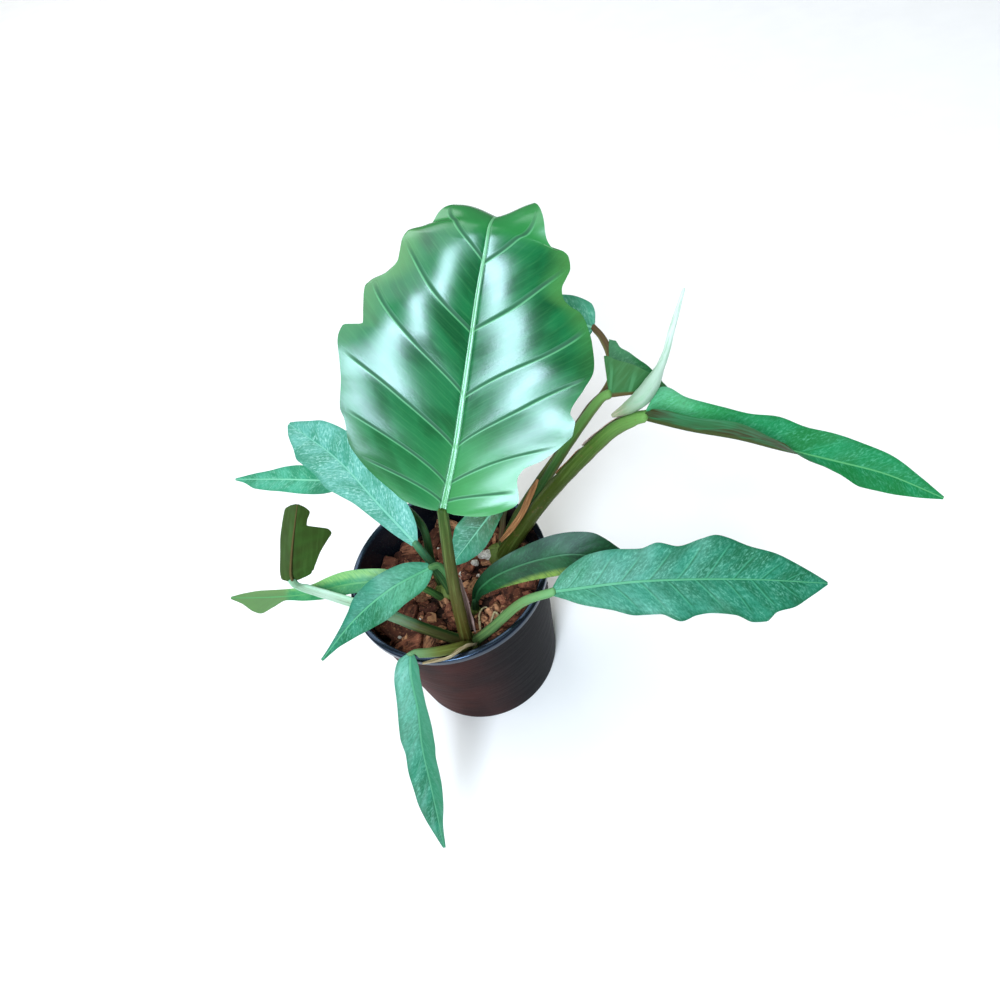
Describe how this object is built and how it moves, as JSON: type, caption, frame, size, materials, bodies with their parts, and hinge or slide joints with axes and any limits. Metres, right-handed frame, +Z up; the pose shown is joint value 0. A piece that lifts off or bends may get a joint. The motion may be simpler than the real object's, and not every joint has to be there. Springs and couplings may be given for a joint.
{
  "type": "potted philodendron",
  "caption": "Broad-leaved house plant with arching lance-shaped leaves, one large quilted leaf and a rolled new leaf, in a round nursery pot of bark mix.",
  "frame": {"origin": "centre of the pot's flat underside, on the surface that it stands on", "axes": "+Z up, the pot's axis. -Y towards the viewer, the way the big leaf faces. +X to the right, the way the two longest leaves reach."},
  "size_m": [0.404, 0.2583, 0.2906],
  "materials": {
    "pot": "smooth dark brown moulded plastic with a black glossy rim and inside",
    "bark": "rough coconut husk and bark chips, reddish brown",
    "pumice": "rough off-white mineral bits in the mix",
    "stem": "satin olive green stalks",
    "glossy_leaf": "glossy emerald green with pale midrib and side veins",
    "matte_leaf": "matte blue-green with fine paler mottling and a pale midrib",
    "yellow_leaf": "satin yellow-green with long streaks",
    "leaf_underside": "matte olive underside flushed with brown along the midrib",
    "new_leaf": "satin white-green, still rolled",
    "dry_sheath_pink": "dry papery pinkish grey-brown",
    "dry_sheath_tan": "dry papery tan"
  },
  "bodies": {
    "root": {"pot": "pot", "potting_mix": "bark", "shoot_front": "stem", "shoot_middle": "stem", "shoot_back": "stem", "shoot_right": "stem", "leaf_big": "glossy_leaf", "leaf_right_low": "matte_leaf", "leaf_right_top": "matte_leaf", "leaf_back_right": "matte_leaf", "leaf_front_left": "matte_leaf", "leaf_upper_left": "matte_leaf", "leaf_far_left": "matte_leaf", "leaf_folded_left": "leaf_underside", "leaf_long_left": "yellow_leaf", "leaf_hanging": "matte_leaf", "leaf_behind_right": "matte_leaf", "leaf_centre": "matte_leaf", "leaf_behind_big": "matte_leaf", "leaf_spear": "new_leaf", "sheath_dried": "dry_sheath_pink", "sheath_back": "dry_sheath_tan", "sheath_front": "dry_sheath_tan"}
  },
  "joints": []
}
